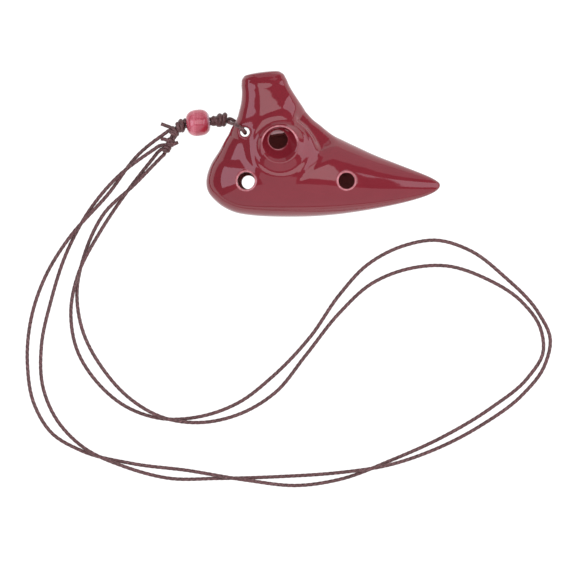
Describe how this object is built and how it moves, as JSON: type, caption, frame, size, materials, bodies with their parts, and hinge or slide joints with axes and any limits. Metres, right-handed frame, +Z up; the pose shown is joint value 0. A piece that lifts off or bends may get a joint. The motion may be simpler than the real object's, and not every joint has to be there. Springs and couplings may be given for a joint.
{
  "type": "ocarina",
  "caption": "Small side-blown glazed ceramic vessel flute with thumb and finger holes, a raised voicing window and a beaded neck cord.",
  "frame": {"origin": "on the resting surface, under the middle of the ceramic body's length and width", "axes": "+X along the body to the tail, +Y towards the mouthpiece, +Z up out of the voicing side"},
  "size_m": [0.2082, 0.1643, 0.0293],
  "materials": {
    "red_glaze": "gloss",
    "waxed_cord": "satin",
    "pink_bead": "gloss"
  },
  "bodies": {
    "vessel": {"voicing_half": "red_glaze", "finger_half": "red_glaze", "mouthpiece": "red_glaze", "voicing_collar": "red_glaze"},
    "lanyard": {"lanyard_loop": "waxed_cord", "barrel_knot": "waxed_cord", "bead_strand_a": "waxed_cord", "bead_strand_b": "waxed_cord", "stop_knot": "waxed_cord", "tie_knot": "waxed_cord", "stop_knot_tail": "waxed_cord", "tie_knot_tail_a": "waxed_cord", "tie_knot_tail_b": "waxed_cord", "necklace_strand_a": "waxed_cord", "necklace_strand_b": "waxed_cord"},
    "bead": {"bead": "pink_bead"}
  },
  "joints": [
    {"name": "lanyard_swing", "type": "hinge", "parent": "vessel", "child": "lanyard", "pos_m": [-0.0307, 0.0045, 0.0165], "axis": [0, 0, 1], "range_deg": [-12, 12]},
    {"name": "bead_spin", "type": "hinge", "parent": "lanyard", "child": "bead", "pos_m": [-0.0493, 0.0087, 0.0053], "axis": [0.9925, 0.1219, 0], "continuous": true}
  ]
}
